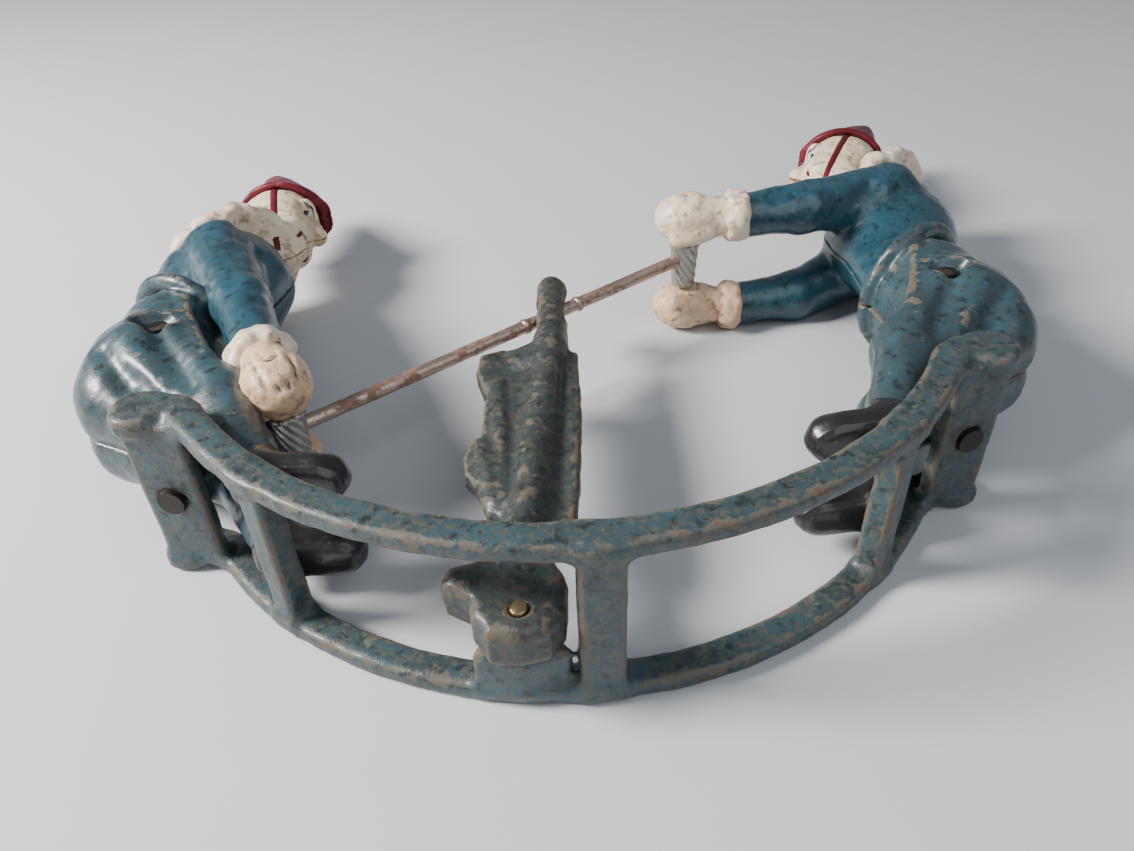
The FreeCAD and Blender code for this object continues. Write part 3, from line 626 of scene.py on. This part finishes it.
FIGURES = {
    "left": {
        "side": -1,
        "waist": (-1.5, 22.0, 0.0), "waist_radius": 12.0,
        "chest": (-1.2, 43.0, 0.0), "chest_radius": 16.8,
        "neck": (0.0, 51.5, 0.0), "neck_radius": 14.5,
        "shoulder": (-2.5, 44.0, 9.6), "elbow": (-15.2, 11.0, 13.0), "wrist": (-24.0, -12.0, 13.0),
        "fist": (-29.5, -23.0, 12.9),
        "ruff": (-1.2, 55.6), "ruff_up": (-0.66, 0.75),
        "head": (-8.5, 79.0), "head_up": (0.07, 0.998),
        "apex": (-12.8, 38.0), "grooves": True,
        "creases": [((-13.0, 40.0, 12.0), (-12.0, 22.0, 14.0), 1.8, -1.2),
                    ((-7.0, 50.0, 15.0), (-11.0, 24.0, 16.0), 2.0, -1.0),
                    ((6.0, 52.0, 12.0), (-8.0, 20.0, 17.0), 3.0, 0.7),
                    ((-12.0, 24.0, 17.0), (-21.0, 2.0, 17.5), 2.2, -0.5)],
    },
    "right": {
        "side": 1,
        "waist": (2.0, 22.0, 0.0), "waist_radius": 11.8,
        "chest": (6.5, 46.0, 0.0), "chest_radius": 16.6,
        "neck": (11.5, 60.0, 0.0), "neck_radius": 14.2,
        "shoulder": (6.0, 53.0, 9.8), "elbow": (-20.5, 42.0, 13.2), "wrist": (-39.0, 39.6, 13.2),
        "fist": (-52.0, 41.0, 12.9),
        "ruff": (10.2, 67.0), "ruff_up": (-0.56, 0.83),
        "head": (8.6, 94.0), "head_up": (0.32, 0.95),
        "apex": (-10.5, 40.5), "grooves": False,
        "creases": [((-2.0, 44.0, 17.0), (-14.0, 34.0, 13.0), 2.2, -1.5),
                    ((6.0, 42.0, 16.0), (-6.0, 30.0, 14.0), 2.4, -1.2),
                    ((14.0, 62.0, 12.0), (2.0, 44.0, 17.0), 2.6, 0.8),
                    ((-8.0, 46.0, 18.0), (-30.0, 38.0, 18.0), 2.0, -0.5)],
    },
}
ARM_TOP = HALF_WIDTH - 0.25


def jacket_field(figure):
    """Half of a jacket with its sleeve; the plug goes down into the trousers."""
    def field(p):
        flat = p * vec(1, 1, 1.22)
        torso = bone(flat, figure["waist"], figure["chest"], figure["waist_radius"], figure["chest_radius"])
        upper = bone(flat, figure["chest"], figure["neck"], figure["chest_radius"], figure["neck_radius"])
        whole = join(torso, upper, 4.0)
        plug = bone(p * vec(1, 1, 1.7), (0, 0, 0), figure["waist"], 9.0, 11.0)
        whole = join(whole, plug, 3.0)
        over = bone(p, figure["shoulder"], figure["elbow"], 9.0, 6.4)
        under = bone(p, figure["elbow"], figure["wrist"], 6.4, 5.6)
        sleeve = join(over, under, 2.5)
        whole = join(whole, sleeve, 3.2)
        for start, end, wide, high in figure["creases"]:
            whole -= fold(p, start, end, wide, high)
        whole = np.maximum(whole, SEAM - p[..., 2])
        whole = np.maximum(whole, np.abs(p[..., 2]) - ARM_TOP)
        return whole - 0.14 * lumps(p, 9.0, 11) - 0.05 * lumps(p, 2.8, 12)
    return field


def box_round(points, margin, low_level):
    """Corners of a figure-frame box round some points."""
    flat = np.array([point[:2] for point in points])
    low, high = flat.min(0) - margin, flat.max(0) + margin
    return (low[0], low[1], low_level), (high[0], high[1], HALF_WIDTH + 1.2)


def arm_way(figure):
    """Plan direction from wrist to fist."""
    way = vec(*figure["fist"][:2]) - vec(*figure["wrist"][:2])
    return way / np.linalg.norm(way)


def glove_field(figure):
    """Mitten fist with a thumb, knuckle creases and the small dimple over the pin."""
    way = arm_way(figure)
    side = vec(-way[1], way[0])
    fist = figure["fist"]

    def field(p):
        q = p - vec(*fist)
        along = q[..., 0] * way[0] + q[..., 1] * way[1]
        across = q[..., 0] * side[0] + q[..., 1] * side[1]
        local = np.stack([along, across, q[..., 2]], -1)
        fist_ball = egg(local, (0.2, 0.0, 0.0), (8.0, 6.9, 6.4))
        palm = bone(local, (-10.5, 0.0, 0.1), (-2.0, 0.0, 0.1), 4.9, 5.8)
        whole = join(fist_ball, palm, 2.4)
        thumb = bone(local, (-5.0, 4.6, -2.0), (2.0, 5.4, -3.6), 2.5, 2.3)
        whole = join(whole, thumb, 1.2)
        if figure["grooves"]:
            for across_spot in (-3.6, -1.2, 1.2, 3.6):
                whole -= fold(local, (-1.5, across_spot, 6.4), (7.0, across_spot * 0.8, 3.0), 0.7, -0.45)
        for knuckle in (-1.8, 1.2, 4.0):
            whole -= fold(local, (knuckle, -6.4, 1.5), (knuckle + 0.8, -5.6, -4.5), 0.9, -0.45)
        whole -= fold(local, (-4.5, -2.0, 5.6), (-4.0, 3.4, 5.2), 1.4, -0.4)
        dent = 1.0 * np.exp(-(np.hypot(along, across) / 0.75) ** 2) * (q[..., 2] > 0)
        whole = np.maximum(whole + dent, 6.5 - p[..., 2])
        cup = np.hypot(along, across) - 4.4
        whole = carve(whole, np.maximum(cup, p[..., 2] - 7.4), 0.6)
        whole = np.maximum(whole, p[..., 2] - ARM_TOP)
        return whole - 0.16 * lumps(p, 4.2, 13) - 0.06 * lumps(p, 1.8, 14)
    return field


def cuff_field(figure):
    """Frilled fur cuff round the wrist."""
    way = arm_way(figure)
    side = vec(-way[1], way[0])
    spot = vec(*figure["wrist"])

    def field(p):
        q = p - spot
        along = q[..., 0] * way[0] + q[..., 1] * way[1]
        across = q[..., 0] * side[0] + q[..., 1] * side[1]
        around = np.arctan2(q[..., 2], across)
        radial = np.hypot(across / 1.12, q[..., 2])
        wave = 0.32 * np.sin(7 * around) + 0.2 * np.sin(4 * around + 1.3)
        whole = rounded(radial - 6.5 - wave * 0.7, np.abs(along - wave * 0.6) - 3.0 - 0.25 * wave, 2.2)
        whole = np.maximum(whole, p[..., 2] - ARM_TOP)
        return whole - 0.24 * lumps(p, 3.8, 15)
    return field


def ruff_field(p):
    """Half of a frilled collar about its own up axis; front is its first axis."""
    around = np.arctan2(p[..., 2], p[..., 0])
    radial = np.hypot(p[..., 0] / 1.12, p[..., 2])
    wave = np.sin(11 * around) + 0.5 * np.sin(6 * around + 0.8)
    plate = rounded(np.abs(radial - 11.2) - 6.3 - 0.35 * wave, np.abs(p[..., 1] - 0.55 * wave) - 2.9, 2.4)
    band = rounded(np.abs(radial - 9.0) - 3.4, np.abs(p[..., 1] - 2.0) - 3.0, 2.0)
    whole = join(plate, band, 2.4)
    whole = np.maximum(whole, SEAM - p[..., 2])
    whole = np.maximum(whole, p[..., 2] - ARM_TOP)
    return whole - 0.2 * lumps(p, 3.6, 17)


# ------------------------------------------------------------------- head

BRIM = 8.0
HEAD_STRETCH = (0.80, 1.0, 0.88)


def head_field(p):
    """Half of a doll-like clown head: front, up and c from the middle of the skull."""
    skull = egg(p, (0.0, 2.5, 0.0), (14.4, 13.5, 11.4))
    face = egg(p, (2.6, -7.0, 0.0), (12.4, 13.0, 9.8))
    whole = join(skull, face, 4.0)
    jaw = egg(p, (5.5, -14.5, 0.0), (7.6, 6.2, 6.6))
    whole = join(whole, jaw, 3.0)
    whole = join(whole, egg(p, (8.4, -8.6, 5.6), (4.8, 4.4, 3.4)), 2.4)
    whole = join(whole, bone(p, (14.0, 1.0, 0.0), (16.6, -5.6, 0.0), 1.8, 2.9), 2.2)
    whole = join(whole, egg(p, (17.0, -6.2, 0.0), (2.9, 2.7, 2.9)), 0.9)
    whole = join(whole, egg(p, (11.6, 3.6, 4.6), (2.6, 1.4, 4.0)), 1.8)
    whole = join(whole, bone(p, (13.2, -12.4, 0.0), (11.6, -12.2, 4.2), 1.6, 1.2), 1.2)
    whole -= fold(p, (15.2, -10.6, 0.0), (12.4, -10.2, 4.6), 0.9, -0.5)
    whole -= fold(p, (13.6, -0.8, 4.0), (11.2, -0.6, 7.4), 1.8, -0.8)
    neck = bone(p, (-1.0, -12.0, 0.0), (-3.0, -25.0, 0.0), 8.2, 9.0)
    whole = join(whole, neck, 3.0)
    whole = np.maximum(whole, SEAM - p[..., 2])
    return whole - 0.10 * lumps(p, 6.0, 19) - 0.05 * lumps(p, 2.2, 20)


def hat_field(apex):
    """Half of a low pointed cap that sits on the head from the brim up."""
    def field(p):
        start, end = vec(0.4, BRIM, 0.0), vec(apex[0], apex[1], 0.0)
        along = end - start
        share = np.clip((p - start) @ along / (along @ along), -0.2, 1.0)
        radius = 13.4 * np.clip(1 - share, 0, 1.2) ** 0.74 + 1.3
        gap = (p - start - share[..., None] * along) * vec(1, 1, 1.28)
        whole = (np.linalg.norm(gap, axis=-1) - radius) * 0.7
        dome = egg(p, (-0.6, BRIM, 0.0), (15.0, 8.0, 12.0))
        whole = join(whole, dome, 3.0)
        whole = np.maximum(whole, BRIM - p[..., 1])
        rim = np.hypot(np.hypot((p[..., 0] - 0.2) / 15.0, p[..., 2] / 12.0) * 13.5 - 13.5, p[..., 1] - BRIM)
        whole = join(whole, rim - 1.0, 1.0)
        whole = np.maximum(whole, SEAM - p[..., 2])
        return whole - 0.14 * lumps(p, 6.0, 21)
    return field


def ribbon(field, points, widths, thick):
    """Raised band of paint that follows a surface: points are joined by a smooth line."""
    points = np.array(points, np.float32)
    count = 12 * (len(points) - 1) + 1
    spots = np.linspace(0, len(points) - 1, count)
    line = np.stack([np.interp(spots, np.arange(len(points)), points[:, i]) for i in range(3)], -1)
    for _ in range(6):
        line[1:-1] = (line[:-2] + 2 * line[1:-1] + line[2:]) / 4
    wide = np.interp(spots, np.arange(len(points)), widths)
    ahead = np.gradient(line, axis=0)
    ahead /= np.linalg.norm(ahead, axis=-1, keepdims=True)

    def settle(q):
        for _ in range(4):
            way = slope(field, q, 0.15)
            q = q - way * (field(q) / ((way ** 2).sum(-1) + 1e-3))[:, None]
        return q

    line = settle(line.astype(np.float32))
    normal = slope(field, line, 0.4)
    normal /= np.linalg.norm(normal, axis=-1, keepdims=True)
    across = np.cross(ahead, normal)
    rows = []
    for shift in (-0.5, -0.25, 0.0, 0.25, 0.5):
        rows.append(settle((line + across * (wide * shift)[:, None]).astype(np.float32)))
    tops = [row + normal * thick * lift for row, lift in zip(rows, (0.15, 0.9, 1.0, 0.9, 0.15))]
    lows = [row - normal * 0.5 for row in reversed(rows)]
    ring = np.stack(tops + lows, 1)
    across_count = ring.shape[1]
    verts = ring.reshape(-1, 3)
    faces = []
    for row in range(count - 1):
        for spot in range(across_count):
            after = (spot + 1) % across_count
            faces.append((row * across_count + spot, (row + 1) * across_count + spot,
                          (row + 1) * across_count + after, row * across_count + after))
    half = across_count // 2
    for row, flip in ((0, False), (count - 1, True)):
        for spot in range(half - 1):
            low_one, low_two = across_count - 1 - spot, across_count - 2 - spot
            quad = [spot, spot + 1, low_two, low_one]
            quad = [row * across_count + item for item in quad]
            faces.append(tuple(quad[::-1] if flip else quad))
    return {"verts": verts, "faces": np.array(faces), "edge": np.zeros(len(verts), np.float32)}


STRAP = [(-1.0, 8.6, 11.6), (1.4, 0.0, 11.2), (4.0, -9.0, 9.6), (6.2, -17.0, 6.2), (7.0, -19.5, 3.0)]
EYE = [(13.0, 1.0, 5.8), (12.7, -0.4, 6.3), (12.5, -1.8, 6.5)]
BROW = [(10.6, 3.2, 8.2), (13.0, 3.4, 5.8), (14.6, 1.0, 3.4)]
LASH = [(11.4, 2.0, 7.4), (12.8, 1.9, 6.0)]
MOUTH = [(13.2, -10.6, 4.4), (12.8, -12.0, 4.4), (12.0, -13.6, 4.2)]


# ------------------------------------------------------------ build it all

BELOW_SEAM = -0.8
HAND_STEP, HEAD_STEP, SMALL_STEP, LARGE_STEP = 0.45, 0.5, 0.55, 0.7

HEAD = sculpt(head_field, (-16.5, -27.0, BELOW_SEAM), (22.0, 18.5, 14.5), HEAD_STEP)
RUFF = sculpt(ruff_field, (-23.0, -6.5, BELOW_SEAM), (23.0, 10.5, 20.5), SMALL_STEP)
TROUSERS = sculpt(trousers_field, (-36.5, -50.0, BELOW_SEAM), (25.0, 33.0, 20.5), LARGE_STEP)
SHOE = sculpt(shoe_field, (-49.0, -55.0, 1.5), (-19.0, -34.0, 17.5), SMALL_STEP)
PAINTED = [
    ("strap", ribbon(head_field, STRAP, [2.7, 2.5, 2.4, 2.2, 2.0], 0.4), "crimson_paint", CRIMSON),
    ("eye", ribbon(head_field, EYE, [0.3, 2.3, 0.3], 0.25), "black_paint", BLACK),
    ("brow", ribbon(head_field, BROW, [0.4, 0.8, 0.4], 0.2), "black_paint", BLACK),
    ("lash", ribbon(head_field, LASH, [0.4, 0.4], 0.2), "black_paint", BLACK),
    ("mouth", ribbon(head_field, MOUTH, [0.7, 1.6, 0.8], 0.3), "crimson_paint", CRIMSON),
]


def make_figure(word, figure):
    """Both halves of a clown: trousers and shoes stay on the cradle, and all else leans."""
    side = figure["side"]
    clown = word + "_clown"
    reach = [figure[key] for key in ("waist", "chest", "neck", "shoulder", "elbow", "wrist")]
    low, high = box_round(reach + [(0.0, -2.0)], 21.0, BELOW_SEAM)
    jacket = sculpt(jacket_field(figure), low, high, LARGE_STEP)
    low, high = box_round([figure["fist"], figure["wrist"]], 9.5, 5.0)
    glove = sculpt(glove_field(figure), low, high, HAND_STEP)
    low, high = box_round([figure["wrist"]], 10.5, 4.0)
    cuff = sculpt(cuff_field(figure), low, high, HAND_STEP)
    hat_high = (18.0, figure["apex"][1] + 4.0, 16.0)
    hat = sculpt(hat_field(figure["apex"]), (-19.0, BRIM - 2.5, BELOW_SEAM), hat_high, SMALL_STEP)
    for half, half_word in HALVES:
        tag = "_%s_%s" % (half_word, word)
        on_figure = place_figure(side, half)
        on_head = place(side, half, figure["head"], figure["head_up"], HEAD_STRETCH)
        on_ruff = place(side, half, figure["ruff"], figure["ruff_up"])
        piece("trousers" + tag, TROUSERS, on_figure, "cradle", TROUSER_TEAL,
              "%s_trousers_%s" % (half_word, word))
        piece("shoe" + tag, SHOE, on_figure, "cradle", BLACK)
        piece("jacket" + tag, jacket, on_figure, clown, TEAL,
              "%s_jacket_%s" % (half_word, word))
        # Painted shade: the far halves take the darker tan copy of the cream; the right near glove alone
        # keeps the lit cream.
        lit_glove = word == "right" and half == NEAR
        piece("glove" + tag, glove, on_figure, clown, CREAM if lit_glove else TAN_AND_SHADE)
        piece("cuff" + tag, cuff, on_figure, clown, CREAM if half == NEAR else TAN_AND_SHADE)
        piece("ruff" + tag, RUFF, on_ruff, clown, CREAM)
        piece("head" + tag, HEAD, on_head, clown, CREAM)
        piece("cap" + tag, hat, on_head, clown, CRIMSON)
        for name, shape, slot, material in PAINTED:
            piece(name + tag, shape, on_head, clown, material)


GRIP_LENGTH, GRIP_ROWS = 12.4, 44
ROD_RADIUS, ROD_ROWS = 1.58, 150


def make_grips():
    """Rolled grips between the fists, with a spiral knurl."""
    for word in FIGURES:
        centre = box_middle("grip_spool_" + word)
        rings = []
        for row in range(GRIP_ROWS + 1):
            share = row / GRIP_ROWS
            height = GRIP_LENGTH * (share - 0.5)
            collar = 0.25 if row > GRIP_ROWS - 4 else 0.0
            rings.append((height, 3.0 + 0.7 * share + collar))
        spot = (np.eye(3) * MM, centre)
        lathe_piece("grip_" + word, rings, 72, spot, "rod", WIRE_STEEL,
                    "grip_spool_" + word, lambda angle, height: 0.16 * math.sin(11 * angle + 2.2 * height))


def box_middle(node):
    return sum((np.array(corner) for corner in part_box(node)), np.zeros(3)) / 2


def make_rod():
    """Push rod between the grips, with the two swaged rings that drag the lever."""
    left, right = box_middle("grip_spool_left"), box_middle("grip_spool_right")
    left[2] = right[2] = box_middle("push_rod")[2]
    way = right - left
    length = np.linalg.norm(way) / MM
    way /= np.linalg.norm(way)
    across = np.cross(np.array([0, 0, 1.0]), way)
    turn = np.stack([across, np.cross(way, across), way], -1) * MM
    rng = np.random.default_rng(31)
    rings = []
    for height in np.linspace(2.6, length - 2.6, ROD_ROWS):
        rings.append((height, ROD_RADIUS + rng.uniform(-0.05, 0.03)))
    lathe_piece("rod", rings, 20, (turn, left), "rod", ROD_STEEL, "push_rod",
                lambda angle, height: 0.04 * math.sin(3 * angle + height * 0.7) * math.sin(height * 0.33))
    for word in ("left", "right"):
        stake = box_middle("rod_stake_" + word)
        rings = [(-0.9, 1.5), (-0.6, 1.8), (-0.2, 1.95), (0.3, 1.9), (0.7, 1.75), (0.9, 1.5)]
        lathe_piece("stake_" + word, rings, 28, (turn, stake), "rod", ROD_STEEL,
                    "rod_stake_" + word, lambda angle, height: 0.07 * math.sin(4 * angle + height))


make_cradle()
make_lever()
make_pin_head()
for figure_word, figure in FIGURES.items():
    make_figure(figure_word, figure)
make_grips()
make_rod()

CAD_MATERIALS = {"lever_pin": BRASS, "hip_pin": DARK_IRON, "seat_rivet": DARK_IRON, "grip_pin": WIRE_STEEL}
for node, thing in frame["nodes"].items():
    for start, material in CAD_MATERIALS.items():
        if node.startswith(start):
            for holder in thing.material_slots:
                holder.material = material


# ------------------------------------------------------- floor, light, camera

def make_floor():
    material, nodes, links, shader = new_material("floor_paper")
    where = nodes.new("ShaderNodeTexCoord").outputs["Object"]
    grain = noise(nodes, links, where, 40.0, 2.0)
    colour = blend(nodes, links, grain, (0.56, 0.57, 0.59), (0.60, 0.61, 0.63))
    links.new(colour, shader.inputs["Base Color"])
    shader.inputs["Roughness"].default_value = 0.8
    size = 3.0
    corners = [(-size, -size, 0), (size, -size, 0), (size, size, 0), (-size, size, 0)]
    mesh = bpy.data.meshes.new("floor")
    mesh.from_pydata(corners, [], [(0, 1, 2, 3)])
    mesh.materials.append(material)
    floor = bpy.data.objects.new("floor", mesh)
    bpy.context.scene.collection.objects.link(floor)


def make_light(name, spot, target, size, power, colour):
    data = bpy.data.lights.new(name, "AREA")
    data.shape = "DISK"
    data.size = size
    data.energy = power
    data.color = colour
    light = bpy.data.objects.new(name, data)
    light.location = spot
    light.rotation_euler = (Vector(target) - Vector(spot)).to_track_quat("-Z", "Y").to_euler()
    bpy.context.scene.collection.objects.link(light)


def make_world():
    world = bpy.data.worlds.new("studio")
    world.use_nodes = True
    world.node_tree.nodes["Background"].inputs["Color"].default_value = (0.62, 0.68, 0.76, 1)
    world.node_tree.nodes["Background"].inputs["Strength"].default_value = 0.36
    bpy.context.scene.world = world


CAMERA_SPOT = (-8.7, -219.2, 133.2 - HALF_WIDTH)
CAMERA_HEADING, CAMERA_DIP, CAMERA_ROLL = math.radians(2.99), math.radians(37.81), math.radians(2.484)
CAMERA_LENS = 28.23


def make_camera():
    flat = Vector((math.cos(CAMERA_HEADING), -math.sin(CAMERA_HEADING), 0))
    ahead = Vector((math.sin(CAMERA_HEADING), math.cos(CAMERA_HEADING), 0)) * math.cos(CAMERA_DIP)
    ahead.z = -math.sin(CAMERA_DIP)
    down = ahead.cross(flat)
    right = flat * math.cos(CAMERA_ROLL) + down * math.sin(CAMERA_ROLL)
    below = -flat * math.sin(CAMERA_ROLL) + down * math.cos(CAMERA_ROLL)
    data = bpy.data.cameras.new("camera")
    data.sensor_width = 36.0
    data.lens = CAMERA_LENS
    data.clip_start = 0.01
    camera = bpy.data.objects.new("camera", data)
    camera.matrix_world = Matrix((
        (right.x, -below.x, -ahead.x, ORIGIN.x + CAMERA_SPOT[0] * MM),
        (right.y, -below.y, -ahead.y, ORIGIN.y + CAMERA_SPOT[1] * MM),
        (right.z, -below.z, -ahead.z, ORIGIN.z + CAMERA_SPOT[2] * MM),
        (0, 0, 0, 1)))
    bpy.context.scene.collection.objects.link(camera)
    bpy.context.scene.camera = camera


make_floor()
make_world()
make_light("key", (-0.62, -0.06, 0.46), (0, 0, 0.01), 0.26, 15.0, (1.0, 0.97, 0.93))
make_light("fill", (0.35, -0.55, 0.60), (0, 0, 0.0), 0.9, 3.0, (0.9, 0.95, 1.0))
make_camera()
